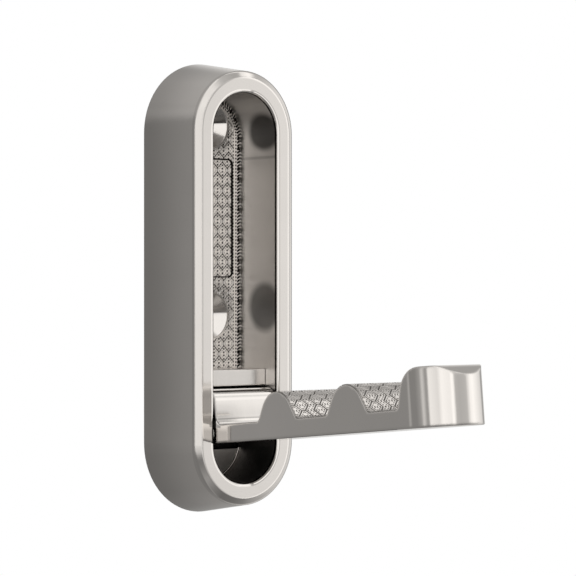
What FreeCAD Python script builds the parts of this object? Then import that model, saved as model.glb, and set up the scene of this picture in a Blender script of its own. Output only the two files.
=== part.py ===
import FreeCAD, Part
import math
import os

from FreeCAD import Vector

# A folding wall hook. A stadium-shaped housing is screwed to a wall, and a hook arm
# swings up into it on a cross pin until its underside is flush with the rim.
# Millimetres. The wall is the plane Y = 0, the rim faces -Y, Z is up and the origin is
# the middle of the housing's back. The arm is modelled in its open position.

# Housing
depth = 16.2
end_centre = 34.2
opening_half_width = 8.87
rim_width = 3.33
bevel_width = 1.45
bevel_depth = 0.75
flare_width = 2.5
opening_edge_radius = 0.4
inner_wall = 1.6
outer_wall = 2.0
rim_thickness = 2.6
edge_break = 0.25

# Back plate, which closes the housing from behind and is the floor of the opening
plate_thickness = 2.7
plate_step = 0.45
plate_clearance = 0.1
wall_hole_radius = 2.8
wall_sink_radius = 5.2
upper_hole_rise = 2.3
wall_hole_spacing = 42.7
pocket_half_width = 6.85
pocket_below_upper_hole = 7.3
pocket_above_lower_hole = 8.5
pocket_depth = 0.5
pocket_corner_radius = 1.4
heel_recess_drop = 4.46
heel_recess_depth = 1.3
heel_recess_side = 0.3

# Hinge
pin_radius = 1.0
pin_inset = 2.4
pivot_rise = 2.46
pin_reach = 11.4
pin_end_bevel = 0.15
slot_clearance = 0.03
running_clearance = 0.05
lug_clearance = 0.06
boss_half_height = 2.5
washer_radius = 2.1
washer_thickness = 0.18

# Stop bar, which the heel meets when the arm is open and the slab when it is folded
bar_height = 3.75
bar_side_clearance = 0.08
bar_edge_radius = 0.3
bar_screw_x = 5.0

# Hook arm
tilt = 5.5
arm_side_clearance = 0.24
slab_thickness = 4.0
folded_clearance = 0.22
tip_clearance = 0.46
arm_edge_break = 0.2
first_crown = 23.85
crown_pitch = 22.7
crown_count = 2
crown_height = 10.0
crown_radius = 5.15
flank_angle = 60.0
foot_radius = 1.0
head_root = 62.1
head_height = 12.15
head_flank_angle = 77.0
head_shoulder_radius = 5.5
head_slope_start = 71.55
head_slope_angle = 38.0
head_slope_radius = 3.0
heel_front = 3.05
heel_nose_inset = 0.8
heel_root_radius = 2.0
heel_nose_radius = 2.4
heel_gap = 0.4
heel_stop_inset = 1.2
heel_stop_gap = 0.05
heel_swing_clearance = 0.3
heel_stop_reach = 4.2
heel_back_radius = 0.5

# Screws from behind
screw_radius = 1.0
screw_hole_clearance = 0.05
screw_head_radius = 1.85
screw_length = 6.5
screw_socket_radius = 0.75
screw_socket_depth = 0.6
screw_boss_radius = 2.0
screw_boss_z = 20.0
screw_boss_depth = 9.5

# Sizes that follow from the ones above
rim_y = -depth
plate_y = -plate_thickness
rim_half_width = opening_half_width + rim_width
front_half_width = rim_half_width + bevel_width
back_half_width = front_half_width + flare_width
flare = flare_width / (depth - bevel_depth)
hollow_front_y = rim_y + rim_thickness
hollow_inner = opening_half_width + inner_wall
hollow_outer_front = back_half_width + flare * hollow_front_y - outer_wall
hollow_outer_back = back_half_width + flare * plate_y - outer_wall
seat_half_width = hollow_outer_back + plate_step
screw_boss_x = (hollow_inner + hollow_outer_back) / 2
upper_hole_z = end_centre + upper_hole_rise
lower_hole_z = upper_hole_z - wall_hole_spacing
pocket_top = upper_hole_z - pocket_below_upper_hole
pocket_bottom = lower_hole_z + pocket_above_lower_hole
pivot_y = rim_y + pin_inset
pivot_z = pivot_rise - end_centre
arm_half_width = opening_half_width - arm_side_clearance
bar_face_y = rim_y + slab_thickness + folded_clearance
swing_radius = plate_y - pivot_y - heel_swing_clearance
stop_height = math.sqrt(swing_radius ** 2 - heel_stop_reach ** 2)
bar_bottom = pivot_z + stop_height + heel_stop_gap
bar_top = bar_bottom + bar_height
bar_half_width = opening_half_width - bar_side_clearance
slot_radius = pin_radius + slot_clearance
tilt_radians = math.radians(tilt)
tip_centre = end_centre - pivot_z - tip_clearance
arm_reach = tip_centre + arm_half_width


def rounded_face(corners, place):
    """Face inside the corners (u, w, radius), each rounded by its radius and put in space by place."""
    lines_from = []
    lines_to = []
    edges = []
    count = len(corners)
    for index, (u, w, radius) in enumerate(corners):
        corner = Vector(u, w, 0)
        back = (Vector(*corners[index - 1][:2], 0) - corner).normalize()
        ahead = (Vector(*corners[(index + 1) % count][:2], 0) - corner).normalize()
        half_angle = back.getAngle(ahead) / 2
        start = corner + back * (radius / math.tan(half_angle))
        end = corner + ahead * (radius / math.tan(half_angle))
        lines_to.append(start)
        lines_from.append(end)
        if radius > 0:
            middle = corner + (back + ahead).normalize() * (radius / math.sin(half_angle) - radius)
            edges.append(Part.Arc(place(start), place(middle), place(end)).toShape())
    for index in range(count):
        start = lines_from[index]
        end = lines_to[(index + 1) % count]
        edges.append(Part.makeLine(place(start), place(end)))
    return Part.Face(Part.Wire(Part.__sortEdges__(edges)))


def stadium(corners):
    """Solid swept round the stadium-shaped centre line by a section (distance out, y, radius)."""
    side_face = rounded_face(corners, lambda point: Vector(point.x, point.y, -end_centre))
    right_side = side_face.extrude(Vector(0, 0, 2 * end_centre))
    left_side = right_side.mirror(Vector(0, 0, 0), Vector(1, 0, 0))
    end_face = rounded_face(corners, lambda point: Vector(point.x, point.y, end_centre))
    upper_end = end_face.revolve(Vector(0, 0, end_centre), Vector(0, -1, 0), 180)
    lower_end = upper_end.mirror(Vector(0, 0, 0), Vector(0, 0, 1))
    return right_side.fuse([left_side, upper_end, lower_end]).removeSplitter()


def box(x_low, x_high, y_low, y_high, z_low, z_high):
    """Box between two corners."""
    size = (x_high - x_low, y_high - y_low, z_high - z_low)
    return Part.makeBox(*size, Vector(x_low, y_low, z_low))


def both_sides(shape):
    """The shape and its mirror image across the middle."""
    return [shape, shape.mirror(Vector(0, 0, 0), Vector(1, 0, 0))]


def from_open(outward, up):
    """A place given beside the pivot in the open position, turned into the arm's own (u, w)."""
    u = outward * math.cos(tilt_radians) + up * math.sin(tilt_radians)
    w = up * math.cos(tilt_radians) - outward * math.sin(tilt_radians)
    return u, w


def screw_places():
    """X and Z of each screw from behind: those of the housing, then those of the stop bar."""
    housing_places = [(x, z) for x in (-screw_boss_x, screw_boss_x) for z in (-screw_boss_z, screw_boss_z)]
    bar_middle = (bar_bottom + bar_top) / 2
    bar_places = [(x, bar_middle) for x in (-bar_screw_x, bar_screw_x)]
    return housing_places, bar_places


def screw_shape(extra):
    """Countersunk screw along Y, its head flush at the origin, or its hole when extra is more than nothing."""
    head = screw_head_radius + extra
    shank = screw_radius + extra
    tip_y = -(screw_length + extra)
    points = [(0, 0), (head, 0), (shank, shank - head), (shank, tip_y), (0, tip_y), (0, 0)]
    outline = Part.makePolygon([Vector(x, y, 0) for x, y in points])
    return Part.Face(outline).revolve(Vector(0, 0, 0), Vector(0, 1, 0), 360)


def screw_holes(places):
    """Holes for the screws at the given places."""
    return [screw_shape(screw_hole_clearance).translated(Vector(x, 0, z)) for x, z in places]


def screws(places):
    """Countersunk screws with a six-sided socket, at the given places."""
    corners = []
    for turn in range(7):
        angle = math.radians(60 * turn)
        corners.append(Vector(screw_socket_radius * math.cos(angle), 0, screw_socket_radius * math.sin(angle)))
    socket = Part.Face(Part.makePolygon(corners)).extrude(Vector(0, -screw_socket_depth, 0))
    screw = screw_shape(0).cut(socket)
    return Part.makeCompound([screw.translated(Vector(x, 0, z)) for x, z in places])


def pin_slot(x_end, radius, y_back):
    """Slot from behind, whose round end holds the pin."""
    round_end = Part.makeCylinder(radius, 2 * x_end, Vector(-x_end, pivot_y, pivot_z), Vector(1, 0, 0))
    straight = box(-x_end, x_end, pivot_y, y_back, pivot_z - radius, pivot_z + radius)
    return round_end.fuse(straight)


def housing():
    """Cast shell with a flared outside, a bevelled rim and a moulded hollow behind the rim."""
    shell = stadium([
        (seat_half_width, 0, 0),
        (back_half_width - edge_break, 0, 0),
        (back_half_width - flare * edge_break, -edge_break, 0),
        (front_half_width, rim_y + bevel_depth, 0),
        (rim_half_width, rim_y, 0),
        (opening_half_width, rim_y, opening_edge_radius),
        (opening_half_width, plate_y, 0),
        (hollow_inner, plate_y, 0),
        (hollow_inner, hollow_front_y, 0),
        (hollow_outer_front, hollow_front_y, 0),
        (hollow_outer_back, plate_y, 0),
        (seat_half_width, plate_y, 0),
    ])
    into_wall = inner_wall / 2
    boss_corners = [
        (hollow_inner - into_wall, plate_y, 0),
        (hollow_outer_back + into_wall, plate_y, 0),
        (hollow_outer_front + into_wall, hollow_front_y - into_wall, 0),
        (hollow_inner - into_wall, hollow_front_y - into_wall, 0),
    ]
    boss_face = rounded_face(
        boss_corners, lambda point: Vector(point.x, point.y, pivot_z - boss_half_height))
    pin_boss = boss_face.extrude(Vector(0, 0, 2 * boss_half_height))
    bosses = both_sides(pin_boss)
    housing_places, bar_places = screw_places()
    boss_length = screw_boss_depth - plate_thickness
    for x, z in housing_places:
        bosses.append(Part.makeCylinder(
            screw_boss_radius, boss_length, Vector(x, plate_y, z), Vector(0, -1, 0)))
    shell = shell.fuse(bosses).removeSplitter()
    slot = pin_slot(pin_reach + running_clearance, slot_radius, plate_y)
    return shell.cut([slot] + screw_holes(housing_places))


def wall_hole(z):
    """Countersunk hole for a wall screw."""
    sink_depth = wall_sink_radius - wall_hole_radius
    bore = Part.makeCylinder(wall_hole_radius, plate_thickness, Vector(0, plate_y, z), Vector(0, 1, 0))
    sink = Part.makeCone(wall_sink_radius, wall_hole_radius, sink_depth, Vector(0, plate_y, z), Vector(0, 1, 0))
    return bore.fuse(sink)


def back_plate():
    """Plate with the wall screw holes, a shallow pocket, room for the heel and the lugs that trap the pin."""
    edge = seat_half_width - plate_clearance
    plate = stadium([
        (0, 0, 0),
        (edge, 0, 0),
        (edge, plate_y, 0),
        (0, plate_y, 0),
    ])
    pocket_corners = [
        (-pocket_half_width, pocket_bottom, pocket_corner_radius),
        (pocket_half_width, pocket_bottom, pocket_corner_radius),
        (pocket_half_width, pocket_top, pocket_corner_radius),
        (-pocket_half_width, pocket_top, pocket_corner_radius),
    ]
    pocket_face = rounded_face(pocket_corners, lambda point: Vector(point.x, plate_y, point.y))
    pocket = pocket_face.extrude(Vector(0, pocket_depth, 0))
    recess_half_width = opening_half_width - heel_recess_side
    heel_recess = box(
        -recess_half_width, recess_half_width, plate_y, plate_y + heel_recess_depth,
        pivot_z - heel_recess_drop, bar_bottom - heel_gap)
    lug_half_height = slot_radius - lug_clearance
    lug_end_y = pivot_y + pin_radius + lug_clearance
    lug = box(
        opening_half_width + lug_clearance, pin_reach - lug_clearance, lug_end_y, plate_y,
        pivot_z - lug_half_height, pivot_z + lug_half_height)
    housing_places, bar_places = screw_places()
    holes = [wall_hole(upper_hole_z), wall_hole(lower_hole_z)]
    plate = plate.cut([pocket, heel_recess] + holes + screw_holes(housing_places + bar_places))
    return plate.fuse(both_sides(lug)).removeSplitter()


def stop_bar():
    """Cross bar between the walls of the opening, screwed to the back plate."""
    bar = box(-bar_half_width, bar_half_width, bar_face_y, plate_y, bar_bottom, bar_top)
    long_edges = [edge for edge in bar.Edges if abs(edge.CenterOfMass.y - bar_face_y) < 0.001
                  and abs(edge.CenterOfMass.x) < 0.001]
    bar = bar.makeFillet(bar_edge_radius, long_edges)
    housing_places, bar_places = screw_places()
    return bar.cut(screw_holes(bar_places))


def hinge_pin():
    """Plain pin with bevelled ends, held in the housing's two slots."""
    pin = Part.makeCylinder(
        pin_radius, 2 * pin_reach, Vector(-pin_reach, pivot_y, pivot_z), Vector(1, 0, 0))
    ends = [edge for edge in pin.Edges if abs(abs(edge.CenterOfMass.x) - pin_reach) < 0.001]
    return pin.makeChamfer(pin_end_bevel, ends)


def pin_washer(side):
    """Thin washer on the pin, between the arm and the wall of the opening."""
    middle = side * (opening_half_width + arm_half_width) / 2
    place = Vector(middle - washer_thickness / 2, pivot_y, pivot_z)
    disc = Part.makeCylinder(washer_radius, washer_thickness, place, Vector(1, 0, 0))
    hole = Part.makeCylinder(slot_radius, washer_thickness, place, Vector(1, 0, 0))
    return disc.cut(hole)


def arm_corners():
    """The arm's side outline, u outward and w up from the pivot, along its flat underside."""
    underside = -pin_inset
    slab_top = slab_thickness - pin_inset
    crown_top = crown_height - pin_inset
    head_top = head_height - pin_inset
    flank = math.radians(flank_angle)
    apex = crown_top + crown_radius * (1 / math.cos(flank) - 1)
    foot_half_width = (apex - slab_top) / math.tan(flank)
    past_tip = arm_reach + arm_half_width
    slope_drop = (past_tip - head_slope_start) * math.tan(math.radians(head_slope_angle))
    shoulder = head_root + (head_top - slab_top) / math.tan(math.radians(head_flank_angle))
    corners = [
        (past_tip, underside, 0),
        (past_tip, head_top - slope_drop, 0),
        (head_slope_start, head_top, head_slope_radius),
        (shoulder, head_top, head_shoulder_radius),
        (head_root, slab_top, foot_radius),
    ]
    for number in reversed(range(crown_count)):
        crown = first_crown + number * crown_pitch
        corners.append((crown + foot_half_width, slab_top, foot_radius))
        corners.append((crown, apex, crown_radius))
        corners.append((crown - foot_half_width, slab_top, foot_radius))
    nose_height = bar_bottom - heel_gap - pivot_z
    stop_front = pivot_y - bar_face_y - heel_stop_inset
    corners.append((heel_front, slab_top, heel_root_radius))
    corners.append((*from_open(pin_inset - heel_nose_inset, nose_height), heel_nose_radius))
    corners.append((*from_open(stop_front, nose_height), 0))
    corners.append((*from_open(stop_front, stop_height), 0))
    back_u, back_w = from_open(-heel_stop_reach, stop_height)
    corners.append((back_u, back_w, heel_back_radius))
    # the heel's back is tangent to the barrel round the pin, and so is the underside
    tangent_angle = math.atan2(back_w, back_u) + math.acos(pin_inset / math.hypot(back_u, back_w))
    barrel_corner = pin_inset * (1 + math.sin(tangent_angle)) / math.cos(tangent_angle)
    corners.append((barrel_corner, underside, pin_inset))
    return corners


def arm():
    """Cast hook arm: heel and barrel, slab, crowns, and a head with a round end."""
    side_face = rounded_face(
        arm_corners(), lambda point: Vector(-arm_half_width, -point.x, point.y))
    body = side_face.extrude(Vector(2 * arm_half_width, 0, 0))
    above = head_height + swing_radius
    straight = box(-arm_half_width, arm_half_width, -tip_centre, above, -above, above)
    round_end = Part.makeCylinder(
        arm_half_width, 2 * above, Vector(0, -tip_centre, -above), Vector(0, 0, 1))
    body = body.common(straight.fuse(round_end).removeSplitter())
    body = body.makeChamfer(arm_edge_break, outer_edges(body))
    bore = Part.makeCylinder(
        pin_radius + running_clearance, 2 * arm_half_width,
        Vector(-arm_half_width, 0, 0), Vector(1, 0, 0))
    body = body.cut(bore)
    body.rotate(Vector(0, 0, 0), Vector(-1, 0, 0), tilt)
    return body.translated(Vector(0, pivot_y, pivot_z))


def outer_edges(body):
    """The edges of the arm where its sides and round end meet its top and underside."""
    chosen = []
    for edge in body.Edges:
        low = edge.BoundBox
        on_side = low.XLength < 0.001 and abs(abs(low.XMin) - arm_half_width) < 0.001
        on_end = low.YMax <= -tip_centre + 0.001 and low.XLength > 0.001 and low.YLength > 0.001
        if on_side and low.YLength > 0.001 or on_end:
            chosen.append(edge)
    return chosen


def main():
    """Build each sub-part and write it to its own file."""
    housing_places, bar_places = screw_places()
    parts = {
        "housing": housing(),
        "back_plate": back_plate(),
        "stop_bar": stop_bar(),
        "arm": arm(),
        "hinge_pin": hinge_pin(),
        "pin_washer_left": pin_washer(-1),
        "pin_washer_right": pin_washer(1),
        "housing_screws": screws(housing_places),
        "bar_screws": screws(bar_places),
    }
    os.makedirs("parts", exist_ok=True)
    for name, shape in parts.items():
        print(name, "valid", shape.isValid(), "solids", len(shape.Solids), "volume", round(shape.Volume, 1))
        shape.exportStep("parts/" + name + ".step")


main()
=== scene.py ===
import math

import bmesh
import bpy
import numpy as np
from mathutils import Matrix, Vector
from mathutils.geometry import delaunay_2d_cdt


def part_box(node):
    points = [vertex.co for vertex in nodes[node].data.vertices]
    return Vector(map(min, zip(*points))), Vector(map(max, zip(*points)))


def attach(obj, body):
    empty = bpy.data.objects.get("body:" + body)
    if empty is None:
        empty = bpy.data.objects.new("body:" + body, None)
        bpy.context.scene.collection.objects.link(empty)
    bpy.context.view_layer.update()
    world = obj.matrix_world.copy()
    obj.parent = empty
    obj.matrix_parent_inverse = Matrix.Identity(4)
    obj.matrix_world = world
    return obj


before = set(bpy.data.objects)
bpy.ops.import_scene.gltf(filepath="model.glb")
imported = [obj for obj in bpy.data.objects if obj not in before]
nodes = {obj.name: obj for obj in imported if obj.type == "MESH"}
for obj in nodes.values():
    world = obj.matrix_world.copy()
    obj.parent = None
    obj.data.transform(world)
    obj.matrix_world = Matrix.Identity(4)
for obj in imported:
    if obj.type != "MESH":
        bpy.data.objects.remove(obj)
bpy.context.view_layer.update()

# The finish of a folding wall hook: satin nickel castings, a relief of zigzags on the back plate
# and on the arm's top, steel fasteners and nylon washers.
# Metres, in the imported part's own frame: the wall is Y = 0, the rim faces -Y and Z is up.

# Camera, recovered from the outlines in the photograph
VIEW_TURN = math.radians(39.389)
VIEW_DISTANCE = 0.53262
VIEW_SIDEWAYS = -0.009231
VIEW_CLIP = (0.01, 20)
RIM_Y = -0.0162
SENSOR_WIDTH = 36.0
IMAGE_WIDTH = 576
FOCAL_PIXELS = 2421

# Studio surround: azimuth in degrees from +X towards +Y, then brightness, at eye level, above and below
LEVEL_SURROUND = [
    (0, 0.84), (9, 0.74), (14, 0.40), (26, 0.38), (32, 0.74), (60, 0.72), (133, 0.26),
    (137, 0.42), (140, 0.40), (143, 0.25), (160, 0.25), (174, 0.36), (180, 0.66), (184, 0.60),
    (189, 0.36), (194, 0.36), (199, 0.98), (222, 0.84), (232, 1.1), (249, 1.02), (256, 1.02),
    (260, 1.2), (265, 1.06), (269, 0.54), (280, 0.50), (296, 0.53), (304, 0.58), (307, 0.82),
    (310, 0.84), (314, 1.06), (326, 1.18),
]
UPPER_SURROUND = [
    (0, 0.50), (16, 0.40), (50, 0.40), (90, 0.44), (145, 0.40), (200, 0.60), (250, 1.05),
    (274, 1.05), (290, 0.62), (312, 0.50), (319, 0.52), (323, 1.15), (335, 1.15), (340, 0.50),
    (350, 0.50),
]
LOWER_SURROUND = [
    (0, 0.70), (30, 0.45), (60, 0.28), (100, 0.24), (150, 0.23), (200, 0.22), (255, 0.22),
    (264, 0.40), (274, 0.27), (290, 0.18), (312, 0.20), (330, 0.28), (345, 0.42),
]
UPPER_FADE = (0.25, 0.65)
LOWER_FADE = (-0.05, -0.30)
SURROUND_TINT = (1.0, 0.985, 0.965)

# Floor and lamp
FLOOR_Z = -0.16
FLOOR_RADIUS = 0.6
FLOOR_SIDES = 96
FLOOR_COLOUR = (0.88, 0.88, 0.87)
FLOOR_ROUGHNESS = 0.8
FLOOR_FADE = (0.12, 0.51)
LAMP_SIZE = 0.5
LAMP_ENERGY = 1.5
LAMP_PLACE = (0.05, -0.25, 0.7)
LAMP_TILT = math.radians(-18)

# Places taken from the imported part
housing_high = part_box("housing")[1]
bar_low, bar_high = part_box("stop_bar")
pin_low, pin_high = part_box("hinge_pin")
END_CENTRE = housing_high.z - housing_high.x
PLATE_Y = bar_high.y
PIVOT_Y = (pin_low.y + pin_high.y) / 2
PIVOT_Z = (pin_low.z + pin_high.z) / 2
ARM_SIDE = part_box("arm")[1].x

# Opening, countersinks and pocket
OPENING_HALF_WIDTH = 0.00887
OPENING_EDGE = 0.0004
WALL_HOLES_Z = (0.0365, -0.0062)
SINK_RADIUS = 0.0052
RING_WIDTH = 0.0003
POCKET_HALF_WIDTH = 0.00685
POCKET_TOP = 0.0292
POCKET_BOTTOM = 0.0023
POCKET_CORNER = 0.0014
POCKET_DEPTH = 0.0005
POCKET_SLOPE = 0.0004

# Relief pattern: zigzag lines one cell high, five cells to three lines
CELL = 0.00138
ZIGZAG_SPACING = 5 * CELL / 3
ZIGZAG_START = 0.0208
NEIGHBOUR_LINES = 2
GROOVE_WIDTH = 0.00022
GROOVE_WALL = 0.00008
PLATE_FINE_DEPTH = 0.36
ARM_FINE_DEPTH = 0.6
FINE_OFFSET = 0.00049
FINE_WIDTH = 0.0002
STITCH_PITCH = CELL / 3
STITCH_LENGTH = 0.00024
BETWEEN_STITCHES = 0.25
DASH_PITCH = 0.0007
DASH_LENGTH = 0.00036
DASH_HEIGHT = 0.00026

# Plain strip beside the opening's wall, with its dots and notches
STRIP_WIDTH = 0.0019
DOT_INSET = 0.00126
DOT_LENGTH = 0.00034
DOT_HEIGHT = 0.0003
NOTCH_PITCH = ZIGZAG_SPACING / 3
NOTCH_START = 0.01776
NOTCH_LENGTH = 0.00095
NOTCH_HEIGHT = 0.00044
NOTCH_SLANT = 0.6
BIG_NOTCH_HEIGHT = 0.0008
BIG_NOTCH_CYCLE = 9
BIG_NOTCHES = (0, 3)

# Relief sheets
PLATE_LAND = 0.00025
ARM_LAND = 0.00014
FLOOR_RISE = 0.00002
SEAT_DEPTH = 0.00003
EDGE_GAP = 0.00001
RELIEF_STEP = CELL / 14
OUTLINE_REACH = 0.75
SLOPE_NUDGE = 1e-7
SAME_POINT = 1e-9
RELIEF_CREASE = math.radians(12)

# Bead in the corner below the heel, in a brighter nickel that paints a highlight along the corner
BEAD_RADIUS = 0.00026
BEAD_START = 0.22
BEAD_STEPS = 96
BEAD_SIDES = 12
BEAD_CREASE = math.radians(60)

# Arm profile from the pivot, outward and up along the slab
TILT = math.radians(5.5)
SLAB_TOP = 0.0016
CROWNS = (0.02385, 0.04655)
CROWN_TOP = 0.0076
CROWN_RADIUS = 0.00515
FLANK_ANGLE = math.radians(60)
FOOT_RADIUS = 0.001
HEAD_ROOT = 0.0621
ARC_POINTS = 40
ARM_RELIEF_START = 0.0245
ARM_RELIEF_END = 0.0615
ARM_RELIEF_HALF_WIDTH = 0.0083

# Colours
NICKEL = (0.86, 0.83, 0.80)
# Brighter than the nickel: a painted highlight on the corner bead
BEAD_GLINT_NICKEL = (0.95, 0.9, 0.86)
STEEL = (0.62, 0.62, 0.63)
LAND_COLOUR = (0.84, 0.81, 0.78)
PLATE_PATINA = (0.015, 0.013, 0.011)
ARM_PATINA = (0.24, 0.23, 0.22)
NYLON_COLOURS = ((0.68, 0.67, 0.62), (0.76, 0.75, 0.70))

# Roughness, brushed grain and softened edges. A noise is its scale and its detail
HOUSING_ROUGHNESS = 0.09
PLATE_ROUGHNESS = 0.16
ARM_ROUGHNESS = 0.055
BAR_ROUGHNESS = 0.24
BEAD_ROUGHNESS = 0.12
STEEL_ROUGHNESS = 0.25
INNER_ROUGHNESS = 0.36
PLATE_LAND_ROUGHNESS = 0.2
ARM_LAND_ROUGHNESS = 0.16
PATINA_ROUGHNESS = 0.5
PATINA_SHARES = (0.08, 0.5)
NYLON_ROUGHNESS = 0.55
NYLON_NOISE = (900, 2)
LEVEL_GRAIN = (400, 400, 4000)
LENGTHWISE_GRAIN = (4000, 400, 400)
EVEN_GRAIN = (600, 600, 600)
STEEL_GRAIN = (2000, 2000, 2000)
GRAIN_DETAIL = 3
GRAIN_STRENGTH = 0.02
GRAIN_HEIGHT = 0.0002
GLOSS_RANGE = (0.85, 1.25)
SMUDGE_NOISE = (90, 4)
SMUDGE_SHARES = (0.3, 0.7)
SMUDGE_SHADE = 0.97
SOFT_EDGE = 0.0003
ARM_SOFT_EDGE = 0.0008
BEAD_SOFT_EDGE = 0.00005
EDGE_SAMPLES = 8

# Masks that paint shade and reflections into the metals' colour or turn their normals by place. A shade is a
# share of the brightness.
# A push or turn is added to the unit normal. Pairs of turns are for the left and the right half.
FINE_FADE = 0.0001
SIDE_FADE = 0.001
BACK_DEPTH = 0.00005
# Near black of the painted shade in recesses, gaps and hidden places
RECESS_SHADE = 0.02

# Masks on the housing
# Painted shade inside the opening, darker in the cavity below the pin
INNER_SHADE = 0.95
CAVITY_SHADE = 0.5
CAVITY_FADE = 0.001
# Painted shade darkening the outside towards the wall, and a painted dark line near its back edge
WALL_EDGE_SHADE = 0.66
WALL_LINE_Y = (-0.0004, -0.00032)
WALL_LINE_SHADE = 0.45
# Depths behind the rim of a painted dark line on the inner wall
LIP_LINE = (0.0003, 0.0008)
LIP_ROUND = 0.00085
LIP_TURNS = (-0.33, -0.62)
LIP_END = (0.1, 0.3)
RIM_EDGE = 0.0122
RIM_INNER_TURNS = (0.3, 0.2)
RIM_OUTER_TURNS = (0, 0.16)
END_PUSH = 0.08
BEVEL_EDGE = 0.01365
BEVEL_EDGE_TURN = 0.5
BEVEL_BACK = (0.0014, 0.0016)
# Painted shade that dims the left half of the bevel
BEVEL_SHADE = 0.87
EDGE_ROUND = 0.00045
# Painted dark reflection of the pocket's top edge on the inner wall
POCKET_LINE_FADE = (0.0001, 0.0005)
POCKET_LINE_SHADE = 0.75

# Dark mirror images of the wall holes on the inner wall: height, flattening and darkest shade of each
HOLE_IMAGE_AHEAD = 0.009
HOLE_IMAGE_FADE = (0.0042, 0.0066)
HOLE_IMAGES = ((0.0349, 1.35, 0.2), (-0.0042, 1.0, 0.32))

# Masks on the back plate
# Countersinks: painted shade on their downward-facing upper halves, and a push on their lower halves
SINK_LINE = 0.0006
SINK_FADE = 0.0002
SINK_SHADE = 0.5
SINK_PUSH = 0.75
# Painted black shade in the heel's recess, and painted shade on the cavity floor below it
RECESS_REACH = 0.00446
CAVITY_FLOOR_SHADE = 0.6
BEHIND_BAR = 0.001
# Painted shade along the pocket's sloped edge, in the patina's colour
POCKET_EDGE_SHADE = 0.95

# Masks on the arm: painted shade and dark lines, and turns of the heel's normal
HEEL_FRONT_Y = -0.0182
HEEL_END_Z = (-0.0305, -0.0303)
HEEL_FOOT_Z = -0.0283
HEEL_FOOT_EDGE_Z = (-0.0292, -0.0286)
HEEL_FOOT_PUSH = 0.6
HEEL_CREST_Z = -0.0243
HEEL_CREST_FADE = (0.0001, 0.0004)
HEEL_CREST_PUSH = 0.06
HEEL_PUSH = 0.035
HEEL_DIM_X = (-0.0065, 0)
HEEL_DIMMING = (0.085, 0.025)
# Two painted dark lines across the heel's face
HEEL_LINES_Z = (-0.02856, -0.02922)
HEEL_LINE_FADE = (0.00008, 0.00016)
HEEL_LINE_SHADE = 0.75
GAP_LINE_Y = -0.0142
GAP_LINE_FADE = (0.0001, 0.0003)
GAP_LINE_PUSH = 1.2
GAP_SHADOW_Y = -0.0148
GAP_SHADOW_FADE = (0.0001, 0.00025)
GAP_SHADOW_SHADE = 0.3
# Painted dark border line along the relief's edge on the arm's top
ARM_BORDER_SHADE = 0.35
# Painted shade on the arm's side by the rim: its heights and brightness, then its reach
ARM_RIM_SHADE_Z = (PIVOT_Z + 0.0003, PIVOT_Z + 0.0018)
ARM_RIM_SHADES = (0.6, 0.92)
ARM_RIM_SHADE_Y = (RIM_Y - 0.0048, RIM_Y - 0.0038)
# Painted dark shadow line on the arm's side where it passes behind the rim
ARM_GAP_Y = (RIM_Y - 0.0005, RIM_Y - 0.0003)


def material(name):
    """New material and its Principled shader."""
    made = bpy.data.materials.new(name)
    made.use_nodes = True
    return made, made.node_tree.nodes["Principled BSDF"]


def feed(tree, socket, value):
    """Set a socket to a number, or link another node's result to it."""
    if isinstance(value, bpy.types.NodeSocket):
        tree.links.new(value, socket)
    else:
        socket.default_value = value


def maths(tree, operation, *values):
    """Result of a maths node, whose inputs are numbers or other results."""
    node = tree.nodes.new("ShaderNodeMath")
    node.operation = operation
    for socket, value in zip(node.inputs, values):
        feed(tree, socket, value)
    return node.outputs["Value"]


def product(tree, first, *others):
    """All the values multiplied."""
    for value in others:
        first = maths(tree, "MULTIPLY", first, value)
    return first


def total(tree, first, *others):
    """All the values added."""
    for value in others:
        first = maths(tree, "ADD", first, value)
    return first


def distance(tree, first, second):
    """Length of the vector with these two parts."""
    return maths(tree, "SQRT", total(tree, product(tree, first, first), product(tree, second, second)))


def mixed(tree, share, first, second):
    """Number from first to second by share."""
    mix = tree.nodes.new("ShaderNodeMix")
    for name, value in (("Factor", share), ("A", first), ("B", second)):
        feed(tree, mix.inputs[name], value)
    return mix.outputs["Result"]


def fade_between(tree, value, start, end, at_start=0.0, at_end=1.0, smooth=True):
    """Change from one value at start to another at end, eased at both unless smooth is off."""
    fade = tree.nodes.new("ShaderNodeMapRange")
    if smooth:
        fade.interpolation_type = "SMOOTHSTEP"
    fade.inputs["From Min"].default_value = start
    fade.inputs["From Max"].default_value = end
    fade.inputs["To Min"].default_value = at_start
    fade.inputs["To Max"].default_value = at_end
    tree.links.new(value, fade.inputs["Value"])
    return fade.outputs["Result"]


def line_at(tree, value, place, fade, on_line=1.0, off_line=0.0):
    """One value on a line at this place, which fades to another on both sides of it."""
    away = maths(tree, "ABSOLUTE", maths(tree, "SUBTRACT", value, place))
    return fade_between(tree, away, *fade, on_line, off_line)


def vector_maths(tree, operation, first, second=None):
    """Result of a vector maths node. The second input of SCALE is a number."""
    node = tree.nodes.new("ShaderNodeVectorMath")
    node.operation = operation
    tree.links.new(first, node.inputs[0])
    if second is not None:
        tree.links.new(second, node.inputs["Scale" if operation == "SCALE" else 1])
    return node.outputs["Value" if operation == "LENGTH" else "Vector"]


def vector_of(tree, **parts):
    """Vector with these parts, named X, Y and Z. The others are nothing."""
    node = tree.nodes.new("ShaderNodeCombineXYZ")
    for axis, value in parts.items():
        tree.links.new(value, node.inputs[axis])
    return node.outputs["Vector"]


def parts_of(tree, vector):
    """The three parts of a vector."""
    node = tree.nodes.new("ShaderNodeSeparateXYZ")
    tree.links.new(vector, node.inputs["Vector"])
    return node.outputs["X"], node.outputs["Y"], node.outputs["Z"]


def own_place(tree):
    """Place on the piece, in its own coordinates."""
    return tree.nodes.new("ShaderNodeTexCoord").outputs["Object"]


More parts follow.
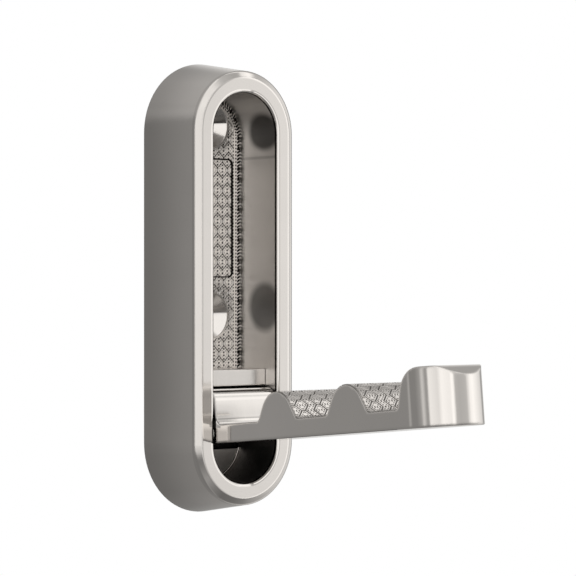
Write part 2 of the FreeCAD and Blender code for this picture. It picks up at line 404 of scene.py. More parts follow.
def coordinates(tree):
    """The three coordinates of the place on the piece."""
    return parts_of(tree, own_place(tree))


def noise(tree, place, scale, detail):
    """Soft noise by place."""
    node = tree.nodes.new("ShaderNodeTexNoise")
    node.inputs["Scale"].default_value = scale
    node.inputs["Detail"].default_value = detail
    tree.links.new(place, node.inputs["Vector"])
    return node.outputs["Fac"]


def colour_ramp(tree, share, stops):
    """Colour by share, from a list of (share, colour)."""
    ramp = tree.nodes.new("ShaderNodeValToRGB")
    elements = ramp.color_ramp.elements
    while len(elements) < len(stops):
        elements.new(0.5)
    for element, (position, colour) in zip(elements, stops):
        element.position = position
        element.color = (*colour, 1)
    tree.links.new(share, ramp.inputs["Fac"])
    return ramp.outputs["Color"]


def mixed_colour(tree, share, first, second):
    """Colour from first to second by share."""
    mix = tree.nodes.new("ShaderNodeMix")
    mix.data_type = "RGBA"
    tree.links.new(share, mix.inputs["Factor"])
    tree.links.new(first, mix.inputs["A"])
    tree.links.new(second, mix.inputs["B"])
    return mix.outputs["Result"]


def mixed_shader(tree, share, first, second):
    """Shader from first to second by share."""
    mix = tree.nodes.new("ShaderNodeMixShader")
    tree.links.new(share, mix.inputs["Fac"])
    tree.links.new(first, mix.inputs[1])
    tree.links.new(second, mix.inputs[2])
    return mix.outputs["Shader"]


def camera_ray(tree):
    """1 for what the camera sees directly, and nothing in reflections and light."""
    return tree.nodes.new("ShaderNodeLightPath").outputs["Is Camera Ray"]


def from_centreline(tree):
    """Distance from the stadium's centre line, and the vector from it, in the plane of the wall."""
    x, _, z = coordinates(tree)
    beyond = maths(tree, "MAXIMUM", maths(tree, "SUBTRACT", maths(tree, "ABSOLUTE", z), END_CENTRE), 0)
    across = vector_of(tree, X=x, Z=product(tree, beyond, maths(tree, "SIGN", z)))
    return vector_maths(tree, "LENGTH", across), across


def edge_shares(tree, off_centre, edge):
    """Nearness to an edge at this distance from the centre line, on its inner and on its outer side."""
    beyond = maths(tree, "GREATER_THAN", off_centre, edge)
    rising = fade_between(tree, off_centre, edge - EDGE_ROUND, edge)
    falling = fade_between(tree, off_centre, edge, edge + EDGE_ROUND, 1, 0)
    return mixed(tree, beyond, rising, 0), mixed(tree, beyond, 0, falling)


def countersinks(tree):
    """For each wall hole, the share inside its countersink and the height above its middle."""
    x, _, z = coordinates(tree)
    for hole_z in WALL_HOLES_Z:
        up = maths(tree, "SUBTRACT", z, hole_z)
        in_hole = fade_between(tree, distance(tree, x, up), SINK_RADIUS, SINK_RADIUS + RING_WIDTH, 1, 0)
        yield in_hole, up


def pushed(tree, normal, **pushes):
    """The normal, pushed by these amounts along the piece's own axes, which turn with its body."""
    with_body = tree.nodes.new("ShaderNodeVectorTransform")
    with_body.convert_from = "OBJECT"
    with_body.convert_to = "WORLD"
    tree.links.new(vector_of(tree, **pushes), with_body.inputs["Vector"])
    turned = vector_maths(tree, "ADD", normal, with_body.outputs["Vector"])
    return vector_maths(tree, "NORMALIZE", turned)


def rounded_rim(tree, normal):
    """The housing's normal, turned near the edges of the rim and its bevel as rounded edges turn it."""
    off_centre, across = from_centreline(tree)
    sideways, _, upright = parts_of(tree, vector_maths(tree, "NORMALIZE", across))
    to_right = fade_between(tree, coordinates(tree)[0], -SIDE_FADE, SIDE_FADE)
    lip = OPENING_HALF_WIDTH + OPENING_EDGE
    on_lip = product(tree, fade_between(tree, off_centre, OPENING_HALF_WIDTH, lip),
                     fade_between(tree, off_centre, lip, OPENING_HALF_WIDTH + LIP_ROUND, 1, 0))
    rim_inner, rim_outer = edge_shares(tree, off_centre, RIM_EDGE)
    bevel_turn = product(tree, edge_shares(tree, off_centre, BEVEL_EDGE)[0], BEVEL_EDGE_TURN)
    turn = total(tree, bevel_turn,
                 product(tree, rim_inner, mixed(tree, to_right, *RIM_INNER_TURNS)),
                 product(tree, rim_outer, mixed(tree, to_right, *RIM_OUTER_TURNS)))
    off_end = fade_between(tree, maths(tree, "ABSOLUTE", sideways), *LIP_END)
    lip_push = product(tree, on_lip, maths(tree, "SIGN", sideways), off_end,
                       mixed(tree, to_right, *LIP_TURNS))
    end_push = product(tree, maths(tree, "ABSOLUTE", upright), total(tree, on_lip, rim_inner), END_PUSH)
    return pushed(tree, normal, X=total(tree, product(tree, sideways, turn), end_push, lip_push),
                  Z=product(tree, upright, bevel_turn))


def shallow_sinks(tree, normal):
    """The plate's normal, turned to the front in the countersinks' lower halves as in a shallower cone."""
    push = 0
    for in_hole, up in countersinks(tree):
        lower_half = product(tree, fade_between(tree, up, -SINK_RADIUS, SINK_LINE - SINK_FADE),
                             fade_between(tree, up, SINK_LINE - SINK_FADE, SINK_LINE + SINK_FADE, 1, 0))
        push = total(tree, push, product(tree, in_hole, lower_half, -SINK_PUSH))
    return pushed(tree, normal, Y=push)


def hollowed_heel(tree, normal):
    """The arm's normal, turned on the heel's face, its crest and its foot as on a slightly hollow face."""
    x, y, z = coordinates(tree)
    on_heel = product(tree, fade_between(tree, y, HEEL_FRONT_Y, HEEL_FRONT_Y + FINE_FADE),
                      fade_between(tree, z, *HEEL_END_Z))
    down_face = fade_between(tree, z, HEEL_FOOT_Z, HEEL_CREST_Z, 1, 0)
    dim = product(tree, down_face, fade_between(tree, x, *HEEL_DIM_X, *HEEL_DIMMING))
    crest = line_at(tree, z, HEEL_CREST_Z, HEEL_CREST_FADE, HEEL_CREST_PUSH)
    x_push = total(tree, maths(tree, "SUBTRACT", HEEL_PUSH, dim), crest)
    foot = fade_between(tree, z, *HEEL_FOOT_EDGE_Z, 1, 0)
    gap_line = line_at(tree, y, GAP_LINE_Y, GAP_LINE_FADE)
    y_push = total(tree, product(tree, foot, -HEEL_FOOT_PUSH), product(tree, gap_line, -GAP_LINE_PUSH))
    return pushed(tree, normal, X=product(tree, on_heel, x_push), Y=product(tree, on_heel, y_push))


def on_back(tree, y):
    """1 on the faces against the wall, and nothing in front of them."""
    return fade_between(tree, y, -BACK_DEPTH, -BACK_DEPTH / 2)


def painted_wall_reflections(tree):
    """Brightness of the inner wall with painted reflections: soft dark mirror images of the holes and of the
    pocket's edge.
    """
    _, y, z = coordinates(tree)
    shade = line_at(tree, z, POCKET_TOP, POCKET_LINE_FADE, POCKET_LINE_SHADE, 1)
    ahead = maths(tree, "SUBTRACT", y, PLATE_Y - HOLE_IMAGE_AHEAD)
    for image_z, flattening, darkest in HOLE_IMAGES:
        up = product(tree, maths(tree, "SUBTRACT", z, image_z), flattening)
        image = fade_between(tree, distance(tree, ahead, up), *HOLE_IMAGE_FADE, darkest, 1)
        shade = product(tree, shade, image)
    return shade


def housing_shade(tree):
    """Brightness and dullness of the casting: duller inside the opening, with painted shade inside it and
    darker painted shade in the cavity below the pin.
    """
    x, y, z = coordinates(tree)
    off_centre = from_centreline(tree)[0]
    in_opening = fade_between(tree, off_centre, OPENING_HALF_WIDTH + FINE_FADE,
                              OPENING_HALF_WIDTH + 2 * FINE_FADE, 1, 0)
    # Painted dark line on the inner wall just behind the lip
    line_start, line_end = (RIM_Y + depth for depth in LIP_LINE)
    inside = product(tree, in_opening, fade_between(tree, y, line_start, line_start + FINE_FADE))
    past_line = fade_between(tree, y, line_end, line_end + 2 * FINE_FADE, RECESS_SHADE, 1)
    # Painted shade inside the opening, darker below the pin
    inner = fade_between(tree, z, PIVOT_Z - CAVITY_FADE, PIVOT_Z + CAVITY_FADE, CAVITY_SHADE, INNER_SHADE)
    inner = product(tree, inner, past_line, painted_wall_reflections(tree))
    # Painted shade, darker towards the wall, and a painted dark line near the back edge
    outer = product(tree, fade_between(tree, y, RIM_Y, 0, 1, WALL_EDGE_SHADE),
                    fade_between(tree, y, *WALL_LINE_Y, 1, WALL_LINE_SHADE))
    outer = mixed(tree, on_back(tree, y), outer, 1)
    # Painted shade that dims the left half of the bevel
    on_bevel = product(tree, fade_between(tree, off_centre, RIM_EDGE, RIM_EDGE + FINE_FADE),
                       fade_between(tree, x, -SIDE_FADE, SIDE_FADE, 1, 0),
                       fade_between(tree, y, RIM_Y + BEVEL_BACK[0], RIM_Y + BEVEL_BACK[1], 1, 0))
    outer = product(tree, outer, mixed(tree, on_bevel, 1, BEVEL_SHADE))
    return mixed(tree, inside, outer, inner), inside


def plate_shade(tree):
    """Brightness and dullness of the plate: painted shade, black in the heel's recess, darker on the floor
    below it and in the countersinks' upper halves.
    """
    _, y, z = coordinates(tree)
    bottom = PIVOT_Z - RECESS_REACH
    # Painted shade: darker cavity floor, black in the heel's recess
    below = fade_between(tree, z, bottom - FINE_FADE, bottom, CAVITY_FLOOR_SHADE, RECESS_SHADE)
    above = fade_between(tree, z, bar_low.z - BEHIND_BAR, bar_low.z)
    sunk = 1
    for in_hole, up in countersinks(tree):
        # Painted shade on the countersink's upper half
        upper_half = fade_between(tree, up, SINK_LINE - SINK_FADE, SINK_LINE + SINK_FADE)
        sunk = product(tree, sunk, mixed(tree, product(tree, in_hole, upper_half), 1, SINK_SHADE))
    shade = mixed(tree, on_back(tree, y), mixed(tree, above, below, sunk), 1)
    return shade, maths(tree, "SUBTRACT", 1, above)


def arm_shade(tree):
    """Brightness and dullness of the arm, with painted shade: black on the heel behind the stop bar, dimmer
    by the rim, and dark lines.
    """
    x, y, z = coordinates(tree)
    # Painted shade on the arm's side by the rim
    side = mixed(tree, fade_between(tree, y, *ARM_RIM_SHADE_Y), 1,
                 fade_between(tree, z, *ARM_RIM_SHADE_Z, *ARM_RIM_SHADES))
    # Painted dark shadow line on the arm's side at the rim
    side = mixed(tree, fade_between(tree, y, *ARM_GAP_Y), side, RECESS_SHADE)
    off_middle = maths(tree, "ABSOLUTE", x)
    on_side = fade_between(tree, off_middle, ARM_SIDE - FINE_FADE, ARM_SIDE - FINE_FADE / 2)
    relief_end = PIVOT_Y - ARM_RELIEF_END
    # Painted dark border line beside the relief
    border = product(
        tree, fade_between(tree, off_middle, ARM_RELIEF_HALF_WIDTH, ARM_RELIEF_HALF_WIDTH + FINE_FADE),
        fade_between(tree, y, relief_end, relief_end - FINE_FADE, 1, 0))
    top = mixed(tree, border, 1, ARM_BORDER_SHADE)
    on_heel = fade_between(tree, y, HEEL_FRONT_Y, HEEL_FRONT_Y + FINE_FADE)
    # Painted dark lines across the heel
    for line_z in HEEL_LINES_Z:
        line = product(tree, line_at(tree, z, line_z, HEEL_LINE_FADE), on_heel)
        top = product(tree, top, mixed(tree, line, 1, HEEL_LINE_SHADE))
    top = product(tree, top, line_at(tree, y, GAP_SHADOW_Y, GAP_SHADOW_FADE, GAP_SHADOW_SHADE, 1))
    # Painted black shade on the heel behind the stop bar's face, inside the housing
    hidden = fade_between(tree, y, bar_low.y - FINE_FADE, bar_low.y)
    return mixed(tree, hidden, mixed(tree, on_side, top, side), RECESS_SHADE), hidden


def bar_shade(tree):
    """Brightness and dullness of the stop bar: painted black shade underneath."""
    _, _, z = coordinates(tree)
    under = fade_between(tree, z, bar_low.z + FINE_FADE, bar_low.z + 1.5 * FINE_FADE, 1, 0)
    return mixed(tree, under, 1, RECESS_SHADE), under


def nickel(name, roughness, grain_scale, colour=NICKEL, edge=SOFT_EDGE, shade=None, turned=None):
    """Satin nickel: faint smudges, a fine brushed grain and softened edges.

    shade gives its brightness by place, which paints shade and reflections into its colour, and its
    dullness, and turned turns its normal."""
    made, shader = material(name)
    tree = made.node_tree
    smudged = [part * SMUDGE_SHADE for part in colour]
    smudges = noise(tree, own_place(tree), *SMUDGE_NOISE)
    tint = colour_ramp(tree, smudges, list(zip(SMUDGE_SHARES, (smudged, colour))))

    stretch = tree.nodes.new("ShaderNodeMapping")
    stretch.inputs["Scale"].default_value = grain_scale
    tree.links.new(own_place(tree), stretch.inputs["Vector"])
    grain = noise(tree, stretch.outputs["Vector"], 1, GRAIN_DETAIL)
    least, most = (roughness * part for part in GLOSS_RANGE)
    gloss = fade_between(tree, grain, 0, 1, least, most, smooth=False)
    if shade:
        brightness, dullness = shade(tree)
        tint = vector_maths(tree, "SCALE", tint, brightness)
        gloss = mixed(tree, dullness, gloss, INNER_ROUGHNESS)
    tree.links.new(tint, shader.inputs["Base Color"])
    tree.links.new(gloss, shader.inputs["Roughness"])

    soft_edge = tree.nodes.new("ShaderNodeBevel")
    soft_edge.samples = EDGE_SAMPLES
    soft_edge.inputs["Radius"].default_value = edge
    normal = soft_edge.outputs["Normal"]
    if turned:
        normal = turned(tree, normal)
    bump = tree.nodes.new("ShaderNodeBump")
    bump.inputs["Strength"].default_value = GRAIN_STRENGTH
    bump.inputs["Distance"].default_value = GRAIN_HEIGHT
    tree.links.new(grain, bump.inputs["Height"])
    tree.links.new(normal, bump.inputs["Normal"])
    tree.links.new(bump.outputs["Normal"], shader.inputs["Normal"])
    shader.inputs["Metallic"].default_value = 1
    return made


def carved_nickel(name, roughness, patina):
    """Satin nickel with a dark patina in its carved grooves."""
    made, shader = material(name)
    tree = made.node_tree
    attribute = tree.nodes.new("ShaderNodeAttribute")
    attribute.attribute_name = "carved"
    depth = attribute.outputs["Fac"]
    tint = colour_ramp(tree, depth, list(zip(PATINA_SHARES, (LAND_COLOUR, patina))))
    dullness = fade_between(tree, depth, 0, 1, roughness, PATINA_ROUGHNESS, smooth=False)
    tree.links.new(tint, shader.inputs["Base Color"])
    tree.links.new(dullness, shader.inputs["Roughness"])
    shader.inputs["Metallic"].default_value = 1
    return made


def nylon(name):
    """Pale plain nylon with a faint mottle."""
    made, shader = material(name)
    tree = made.node_tree
    mottle = noise(tree, own_place(tree), *NYLON_NOISE)
    tint = colour_ramp(tree, mottle, list(zip((0, 1), NYLON_COLOURS)))
    tree.links.new(tint, shader.inputs["Base Color"])
    shader.inputs["Roughness"].default_value = NYLON_ROUGHNESS
    return made


def finish_nodes(finish, *names):
    """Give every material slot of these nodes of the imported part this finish."""
    for name in names:
        for slot in nodes[name].material_slots:
            slot.material = finish


def camera():
    """The photograph's camera: level, turned to the left of the rim's face."""
    right = Vector((math.cos(VIEW_TURN), -math.sin(VIEW_TURN), 0))
    forward = Vector((math.sin(VIEW_TURN), math.cos(VIEW_TURN), 0))
    lens = bpy.data.cameras.new("view")
    lens.sensor_width = SENSOR_WIDTH
    lens.lens = SENSOR_WIDTH * FOCAL_PIXELS / IMAGE_WIDTH
    lens.clip_start, lens.clip_end = VIEW_CLIP
    seen_from = bpy.data.objects.new("view", lens)
    rim_middle = Vector((0, RIM_Y, 0))
    seen_from.location = rim_middle - right * VIEW_SIDEWAYS - forward * VIEW_DISTANCE
    seen_from.rotation_euler = (math.pi / 2, 0, -VIEW_TURN)
    bpy.context.scene.collection.objects.link(seen_from)
    bpy.context.scene.camera = seen_from


def surround_ramp(tree, turn_share, stops):
    """Light by azimuth, from a list of (degrees, brightness) that closes on itself."""
    closed = stops + [(360, stops[0][1])]
    return colour_ramp(tree, turn_share, [
        (azimuth / 360, [brightness * part for part in SURROUND_TINT]) for azimuth, brightness in closed])


def surround():
    """White for the camera, and for the metal a studio of light and dark panels by direction."""
    world = bpy.data.worlds.new("studio")
    bpy.context.scene.world = world
    world.use_nodes = True
    tree = world.node_tree
    x, y, z = parts_of(tree, tree.nodes.new("ShaderNodeTexCoord").outputs["Generated"])
    turn_share = maths(tree, "FRACT", maths(tree, "DIVIDE", maths(tree, "ARCTAN2", y, x), 2 * math.pi))
    level, upper, lower = (surround_ramp(tree, turn_share, stops)
                           for stops in (LEVEL_SURROUND, UPPER_SURROUND, LOWER_SURROUND))
    light = mixed_colour(tree, fade_between(tree, z, *UPPER_FADE), level, upper)
    light = mixed_colour(tree, fade_between(tree, z, *LOWER_FADE), light, lower)

    studio = tree.nodes.new("ShaderNodeBackground")
    tree.links.new(light, studio.inputs["Color"])
    white = tree.nodes.new("ShaderNodeBackground")
    white.inputs["Color"].default_value = (1, 1, 1, 1)
    seen = mixed_shader(tree, camera_ray(tree), studio.outputs["Background"], white.outputs["Background"])
    tree.links.new(seen, tree.nodes["World Output"].inputs["Surface"])


def floor():
    """Pale round floor under the part, which fades into the white backdrop."""
    mesh = bpy.data.meshes.new("floor")
    work = bmesh.new()
    bmesh.ops.create_circle(work, cap_ends=True, segments=FLOOR_SIDES, radius=FLOOR_RADIUS)
    work.to_mesh(mesh)
    work.free()
    disc = bpy.data.objects.new("floor", mesh)
    disc.location = (0, 0, FLOOR_Z)
    bpy.context.scene.collection.objects.link(disc)

    made, shader = material("floor_paint")
    tree = made.node_tree
    shader.inputs["Base Color"].default_value = (*FLOOR_COLOUR, 1)
    shader.inputs["Roughness"].default_value = FLOOR_ROUGHNESS
    off_middle = vector_maths(tree, "LENGTH", own_place(tree))
    seen = product(tree, fade_between(tree, off_middle, *FLOOR_FADE, smooth=False), camera_ray(tree))
    white = tree.nodes.new("ShaderNodeEmission")
    faded = mixed_shader(tree, seen, shader.outputs["BSDF"], white.outputs["Emission"])
    tree.links.new(faded, tree.nodes["Material Output"].inputs["Surface"])
    mesh.materials.append(made)
    disc.visible_glossy = False


def lamp():
    """A soft overhead lamp, which the metal's own reflections leave out."""
    light = bpy.data.lights.new("overhead", "AREA")
    light.shape = "SQUARE"
    light.size = LAMP_SIZE
    light.energy = LAMP_ENERGY
    overhead = bpy.data.objects.new("overhead", light)
    overhead.location = LAMP_PLACE
    overhead.rotation_euler = (LAMP_TILT, 0, 0)
    overhead.visible_glossy = False
    bpy.context.scene.collection.objects.link(overhead)


def smooth_step(value, low, high):
    """Smooth share from 0 at low to 1 at high."""
    share = np.clip((value - low) / (high - low), 0, 1)
    return share * share * (3 - 2 * share)


def carved(away, width):
    """Depth share at a distance from the middle of a groove with nearly upright walls."""
    return 1 - smooth_step(away, (width - GROOVE_WALL) / 2, (width + GROOVE_WALL) / 2)


def zigzag_line(across, number):
    """Place of one zigzag line. Every third line is half a wave out of step with the others."""
    out_of_step = np.mod(number, 3) == 0
    wave = np.abs(np.mod(across / CELL + out_of_step, 2) - 1) - 0.5
    return ZIGZAG_START - number * ZIGZAG_SPACING + CELL * wave


def zigzag_relief(across, along, fine_depth=ARM_FINE_DEPTH, between_stitches=1):
    """Depth share of the pattern: bold zigzags, fine stitched ones beside them, and dashes between them.

    between_stitches is the depth share of the bold zigzags between their own stitches."""
    nearest = np.round((ZIGZAG_START - along) / ZIGZAG_SPACING)
    column = CELL * np.round(across / CELL)
    off_stitch = np.abs(np.mod(across + STITCH_PITCH / 2, STITCH_PITCH) - STITCH_PITCH / 2)
    stitches = carved(off_stitch, STITCH_LENGTH)
    bold_depth = between_stitches + (1 - between_stitches) * stitches
    depth = np.zeros(np.shape(across))
    for step in range(-NEIGHBOUR_LINES, NEIGHBOUR_LINES + 1):
        number = nearest + step
        off_line = np.abs(along - zigzag_line(across, number)) / math.sqrt(2)
        bold = bold_depth * carved(off_line, GROOVE_WIDTH)
        fine = fine_depth * stitches * carved(np.abs(off_line - FINE_OFFSET), FINE_WIDTH)
        upper = zigzag_line(column, number)
        gap = upper - zigzag_line(column, number + 1)
        parts = np.round(gap / DASH_PITCH)
        place = (upper - along) / gap * parts
        nearest_dash = np.clip(np.round(place), 1, np.maximum(parts - 1, 1))
        off_dash = np.abs(place - nearest_dash) * gap / parts
        dash = (parts > 1) * carved(off_dash, DASH_HEIGHT) * carved(np.abs(across - column), DASH_LENGTH)
        depth = np.maximum.reduce([depth, bold, fine, dash])
    return depth


def from_opening_wall(x, z):
    """Distance from the opening's wall, and the length along that wall."""
    beyond = np.maximum(np.abs(z) - END_CENTRE, 0)
    turn = np.arctan2(beyond, np.abs(x))
    return OPENING_HALF_WIDTH - np.hypot(x, beyond), z - np.sign(z) * beyond + OPENING_HALF_WIDTH * turn


def from_wall_holes(x, z):
    """Distance from the nearest countersink's edge."""
    return np.minimum.reduce([np.hypot(x, z - hole_z) for hole_z in WALL_HOLES_Z]) - SINK_RADIUS


def from_pocket(x, z):
    """Distance outside the pocket's outline, less than nothing inside it."""
    beside = np.abs(x) - POCKET_HALF_WIDTH + POCKET_CORNER
    above = np.abs(z - (POCKET_TOP + POCKET_BOTTOM) / 2) - (POCKET_TOP - POCKET_BOTTOM) / 2 + POCKET_CORNER
    outside = np.hypot(np.maximum(beside, 0), np.maximum(above, 0))
    return outside + np.minimum(np.maximum(beside, above), 0) - POCKET_CORNER


def plate_relief(x, z):
    """The pattern with plain rings round the countersinks, and a strip of dots and notches by the wall."""
    ring = smooth_step(from_wall_holes(x, z), RING_WIDTH, RING_WIDTH + GROOVE_WALL)
    wall_gap, wall_length = from_opening_wall(x, z)
    off_strip = smooth_step(wall_gap, STRIP_WIDTH, STRIP_WIDTH + GROOVE_WALL)
    pattern = off_strip * zigzag_relief(x, z, PLATE_FINE_DEPTH, BETWEEN_STITCHES)
    row = np.round((wall_length - NOTCH_START) / NOTCH_PITCH)
    past_row = wall_length - NOTCH_START - NOTCH_PITCH * row
    dots = carved(np.abs(wall_gap - DOT_INSET), DOT_LENGTH) * carved(np.abs(past_row), DOT_HEIGHT)
    big = np.isin(np.mod(row, BIG_NOTCH_CYCLE), BIG_NOTCHES)
    notch_height = np.where(big, BIG_NOTCH_HEIGHT, NOTCH_HEIGHT)
    slanted = np.abs(past_row + NOTCH_SLANT * (wall_gap - NOTCH_LENGTH / 2))
    notches = carved(wall_gap, 2 * NOTCH_LENGTH) * carved(slanted, notch_height)
    return ring * np.maximum.reduce([pattern, dots, notches])


def pocket_rise(x, z):
    """Share of the way up from the pocket's floor to the plate, over a short slope inside its outline."""
    return smooth_step(from_pocket(x, z), -POCKET_SLOPE, 0)


def steps(low, high, step):
    """Even steps that cover a range and pass through nothing."""
    return step * np.arange(math.floor(low / step), math.ceil(high / step) + 1)


def carved_sheet(first, second, inside, depth_share, place, land, rise=None):
    """Relief over a grid: its top points, cells and depths, and its points at the seat.

    inside gives the distances from each edge, to which the outline is drawn. place turns the grid
    and a height into points. rise lifts the relief by that share of the pocket's depth and paints
    shade on its slope in the patina's colour."""
    grid_first, grid_second = np.meshgrid(first, second, indexing="ij")
    middles = [(grid[:-1, :-1] + grid[1:, 1:]) / 2 for grid in (grid_first, grid_second)]
    kept = np.minimum.reduce(inside(*middles)) > 0
    around = np.zeros(grid_first.shape, int)  # how many kept cells meet at each point
    for row in (0, 1):
        for column in (0, 1):
            around[row:row + kept.shape[0], column:column + kept.shape[1]] += kept
    outline = (around > 0) & (around < 4)
    reach = OUTLINE_REACH * (first[1] - first[0])
    for edge in range(len(inside(grid_first[:1, :1], grid_second[:1, :1]))):
        gap = inside(grid_first, grid_second)[edge]
        slope_first = (inside(grid_first + SLOPE_NUDGE, grid_second)[edge] - gap) / SLOPE_NUDGE
        slope_second = (inside(grid_first, grid_second + SLOPE_NUDGE)[edge] - gap) / SLOPE_NUDGE
        near = outline & (np.abs(gap) < reach)
        grid_first = np.where(near, grid_first - gap * slope_first, grid_first)
        grid_second = np.where(near, grid_second - gap * slope_second, grid_second)

    depth = depth_share(grid_first, grid_second)
    height = FLOOR_RISE + (land - FLOOR_RISE) * (1 - depth)
    if rise:
        lift = rise(grid_first, grid_second)
        height = height + POCKET_DEPTH * lift
        # Painted shade on the pocket's slope, in the patina's colour
        on_slope = 4 * lift * (1 - lift)
        depth = np.maximum(depth, POCKET_EDGE_SHADE * on_slope)
    used = around > 0
    number = np.full(used.shape, -1)
    number[used] = np.arange(used.sum())
    quads = np.stack([number[:-1, :-1], number[1:, :-1], number[1:, 1:], number[:-1, 1:]], axis=-1)
    used_first, used_second = grid_first[used], grid_second[used]
    top = place(used_first, used_second, height[used])
    bottom = place(used_first, used_second, np.full(used.sum(), -SEAT_DEPTH))
    return top, quads[kept], depth[used], bottom


def piece_from(work, name, body, finish, crease):
    """Finished piece from a closed mesh, smooth but for its creases, that rides on a body."""
    bmesh.ops.recalc_face_normals(work, faces=work.faces)
    mesh = bpy.data.meshes.new(name)
    work.to_mesh(mesh)
    work.free()
    mesh.shade_smooth()
    mesh.set_sharp_from_angle(angle=crease)
    mesh.materials.append(finish)
    piece = bpy.data.objects.new(name, mesh)
    bpy.context.scene.collection.objects.link(piece)
    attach(piece, body)


def relief_piece(name, body, finish, sheet, cap):
    """Closed piece from a carved sheet, which cap closes underneath."""
    top, quads, depth, bottom = sheet
    work = bmesh.new()
    share = work.verts.layers.float.new("carved")
    verts = [work.verts.new(point) for point in top]
    for vert, value in zip(verts, depth):
        vert[share] = value
    for quad in quads:
        work.faces.new([verts[index] for index in quad])
    rim = [edge for edge in work.edges if edge.is_boundary]
    work.verts.index_update()
    lowered = {}
    for vert in {vert for edge in rim for vert in edge.verts}:
        lowered[vert] = work.verts.new(bottom[vert.index])
    base = []
    for edge in rim:
        start, end = edge.link_loops[0].vert, edge.link_loops[0].link_loop_next.vert
        side = work.faces.new((end, start, lowered[start], lowered[end]))
        base.append(next(loop.edge for loop in side.loops if loop.vert == lowered[start]))
    cap(work, base)
    piece_from(work, name, body, finish, RELIEF_CREASE)


def flat_cap(inside):
    """Cap that closes a flat piece underneath with plain triangles."""
    def cap(work, base):
        verts = list({vert for edge in base for vert in edge.verts})
        number = {vert: index for index, vert in enumerate(verts)}
        points = [Vector((vert.co.x, vert.co.z)) for vert in verts]
        edges = [(number[edge.verts[0]], number[edge.verts[1]]) for edge in base]
        points, _, triangles, sources, _, _ = delaunay_2d_cdt(points, edges, [], 1, SAME_POINT)
        level = verts[0].co.y
        made = [verts[source[0]] if source else work.verts.new((point.x, level, point.y))
                for point, source in zip(points, sources)]
        for triangle in triangles:
            middle = sum((points[index] for index in triangle), Vector((0, 0))) / 3
            if min(float(gap) for gap in inside(middle.x, middle.y)) > 0:
                work.faces.new([made[index] for index in triangle])
    return cap


def strip_cap(work, base):
    """Closes a strip underneath with faces as wide as the strip."""
    verts = {vert for edge in base for vert in edge.verts}
    outward = {vert: vert.co.z * math.sin(TILT) - vert.co.y * math.cos(TILT) for vert in verts}
    ends = min(outward.values()), max(outward.values())
    half = max(vert.co.x for vert in verts)
    left, right = (sorted((vert for vert in verts if abs(vert.co.x - side) < EDGE_GAP), key=outward.get)
                   for side in (-half, half))
    rows = [sorted((vert for vert in verts if abs(outward[vert] - end) < EDGE_GAP / 10),
                   key=lambda vert: vert.co.x) for end in ends]
    last = len(left) - 1
    work.faces.new(rows[0] + [right[1], left[1]])
    for index in range(1, last - 1):
        work.faces.new((left[index], right[index], right[index + 1], left[index + 1]))
    work.faces.new([left[last - 1], right[last - 1]] + rows[1][::-1])


def rounded_points(corners):
    """Points along straight runs joined by tangent arcs, from corners (u, w, radius)."""
    points = [Vector(corners[0][:2])]
    for before, (u, w, radius), after in zip(corners, corners[1:], corners[2:]):
        corner = Vector((u, w))
        back = (Vector(before[:2]) - corner).normalized()
        ahead = (Vector(after[:2]) - corner).normalized()
        half_angle = back.angle(ahead) / 2
        centre = corner + (back + ahead).normalized() * (radius / math.sin(half_angle))
        start = corner + back * (radius / math.tan(half_angle)) - centre
        turn = back.angle_signed(ahead)
        sweep = math.copysign(math.pi - abs(turn), turn)
        for share in np.linspace(0, 1, ARC_POINTS):
            angle = -sweep * share
            points.append(centre + Vector((
                start.x * math.cos(angle) + start.y * math.sin(angle),
                start.y * math.cos(angle) - start.x * math.sin(angle))))
    points.append(Vector(corners[-1][:2]))
    return np.array(points)


def arm_profile():
    """Points of the arm's top from the first crown to the head, with their length along it and normals."""
    apex = CROWN_TOP + CROWN_RADIUS * (1 / math.cos(FLANK_ANGLE) - 1)
    foot = (apex - SLAB_TOP) / math.tan(FLANK_ANGLE)
    corners = [(CROWNS[0] - foot, SLAB_TOP, 0)]
    for crown in CROWNS:
        corners.append((crown, apex, CROWN_RADIUS))
        corners.append((crown + foot, SLAB_TOP, FOOT_RADIUS))
        corners.append((crown - foot + CROWNS[1] - CROWNS[0], SLAB_TOP, FOOT_RADIUS))
    corners[-1] = (HEAD_ROOT, SLAB_TOP, 0)
    points = rounded_points(corners)
    length = np.concatenate([[0], np.cumsum(np.hypot(*np.diff(points, axis=0).T))])
    first, last = np.interp((ARM_RELIEF_START, ARM_RELIEF_END), points[:, 0], length)
    along = np.linspace(first, last, round((last - first) / RELIEF_STEP) + 1)
    u = np.interp(along, length, points[:, 0])
    w = np.interp(along, length, points[:, 1])
    slope_u, slope_w = np.gradient(u), np.gradient(w)
    size = np.hypot(slope_u, slope_w)
    return along - first, u, w, -slope_w / size, slope_u / size


def plate_pieces():
    """The relief round the pocket and the relief on the pocket's floor."""
    across = steps(-OPENING_HALF_WIDTH, OPENING_HALF_WIDTH, RELIEF_STEP)
    along = steps(bar_high.z, END_CENTRE + OPENING_HALF_WIDTH, RELIEF_STEP)

    def round_pocket(x, z):
        return [from_opening_wall(x, z)[0] - EDGE_GAP, z - bar_high.z - EDGE_GAP,
                from_wall_holes(x, z), from_pocket(x, z)]

    def in_pocket(x, z):
        return [-from_pocket(x, z) - EDGE_GAP]

    for name, inside, level, rise in (("plate_relief", round_pocket, PLATE_Y, None),
                                      ("pocket_relief", in_pocket, PLATE_Y + POCKET_DEPTH, pocket_rise)):
        sheet = carved_sheet(
            across, along, inside, plate_relief,
            lambda x, z, height: np.stack([x, level - height, z], axis=-1), PLATE_LAND, rise)
        relief_piece(name, "housing", relief_finish, sheet, flat_cap(inside))


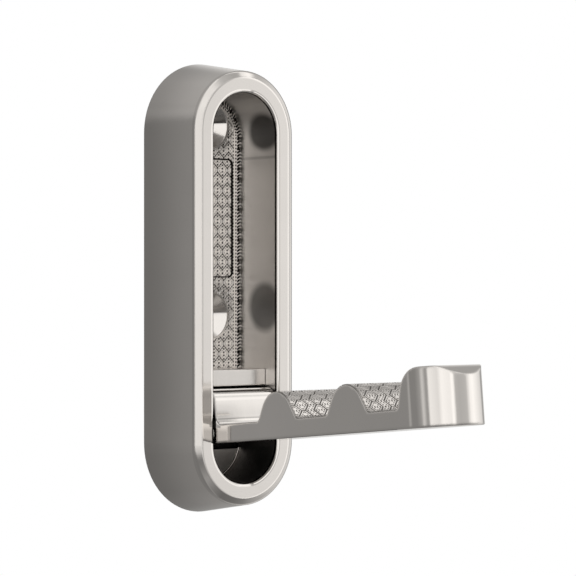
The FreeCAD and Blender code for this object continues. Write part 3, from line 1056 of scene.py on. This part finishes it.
def bead_piece():
    """The thin bead in the corner between the plate and the wall's round end, below the heel's recess,
    brighter than the nickel to paint its glint.
    """
    work = bmesh.new()
    rings = []
    for turn in np.linspace(math.pi + BEAD_START, 2 * math.pi - BEAD_START, BEAD_STEPS + 1):
        ring = []
        for side in np.linspace(0, 2 * math.pi, BEAD_SIDES, endpoint=False):
            off_centre = OPENING_HALF_WIDTH - BEAD_RADIUS * (1 - math.cos(side))
            ring.append(work.verts.new((
                off_centre * math.cos(turn),
                PLATE_Y - BEAD_RADIUS * math.sin(side),
                -END_CENTRE + off_centre * math.sin(turn))))
        rings.append(ring)
    for first, second in zip(rings, rings[1:]):
        for index in range(BEAD_SIDES):
            after = (index + 1) % BEAD_SIDES
            work.faces.new((first[index], first[after], second[after], second[index]))
    work.faces.new(rings[0])
    work.faces.new(rings[-1])
    piece_from(work, "corner_bead", "housing", bead_finish, BEAD_CREASE)


def arm_piece():
    """The relief on the arm's top, the same pattern turned to run out along the arm."""
    length, u, w, normal_u, normal_w = arm_profile()

    def inside(along, x):
        return [ARM_RELIEF_HALF_WIDTH - np.abs(x), along, length[-1] - along]

    def place(along, x, height):
        out = np.interp(along, length, u) + height * np.interp(along, length, normal_u)
        up = np.interp(along, length, w) + height * np.interp(along, length, normal_w)
        y = PIVOT_Y - out * math.cos(TILT) + up * math.sin(TILT)
        z = PIVOT_Z + out * math.sin(TILT) + up * math.cos(TILT)
        return np.stack([x, y, z], axis=-1)

    x_steps = steps(-ARM_RELIEF_HALF_WIDTH, ARM_RELIEF_HALF_WIDTH, RELIEF_STEP)
    sheet = carved_sheet(length, x_steps, inside, zigzag_relief, place, ARM_LAND)
    relief_piece("arm_relief", "arm", arm_relief_finish, sheet, strip_cap)


camera()
surround()
floor()
lamp()

shell_finish = nickel("housing_nickel", HOUSING_ROUGHNESS, LEVEL_GRAIN,
                      shade=housing_shade, turned=rounded_rim)
plate_finish = nickel("plate_nickel", PLATE_ROUGHNESS, EVEN_GRAIN, shade=plate_shade, turned=shallow_sinks)
arm_finish = nickel("arm_nickel", ARM_ROUGHNESS, LENGTHWISE_GRAIN,
                    edge=ARM_SOFT_EDGE, shade=arm_shade, turned=hollowed_heel)
bar_finish = nickel("bar_nickel", BAR_ROUGHNESS, LENGTHWISE_GRAIN, shade=bar_shade)
steel_finish = nickel("plain_steel", STEEL_ROUGHNESS, STEEL_GRAIN, STEEL)
bead_finish = nickel("bead_glint_nickel", BEAD_ROUGHNESS, EVEN_GRAIN, BEAD_GLINT_NICKEL, BEAD_SOFT_EDGE)
finish_nodes(shell_finish, "housing")
finish_nodes(plate_finish, "back_plate")
finish_nodes(arm_finish, "arm")
finish_nodes(bar_finish, "stop_bar")
finish_nodes(steel_finish, "hinge_pin", "housing_screws", "bar_screws")
finish_nodes(nylon("nylon"), "pin_washer_left", "pin_washer_right")

relief_finish = carved_nickel("plate_relief_nickel", PLATE_LAND_ROUGHNESS, PLATE_PATINA)
arm_relief_finish = carved_nickel("arm_relief_nickel", ARM_LAND_ROUGHNESS, ARM_PATINA)
plate_pieces()
bead_piece()
arm_piece()

bpy.context.scene.view_settings.view_transform = "Standard"
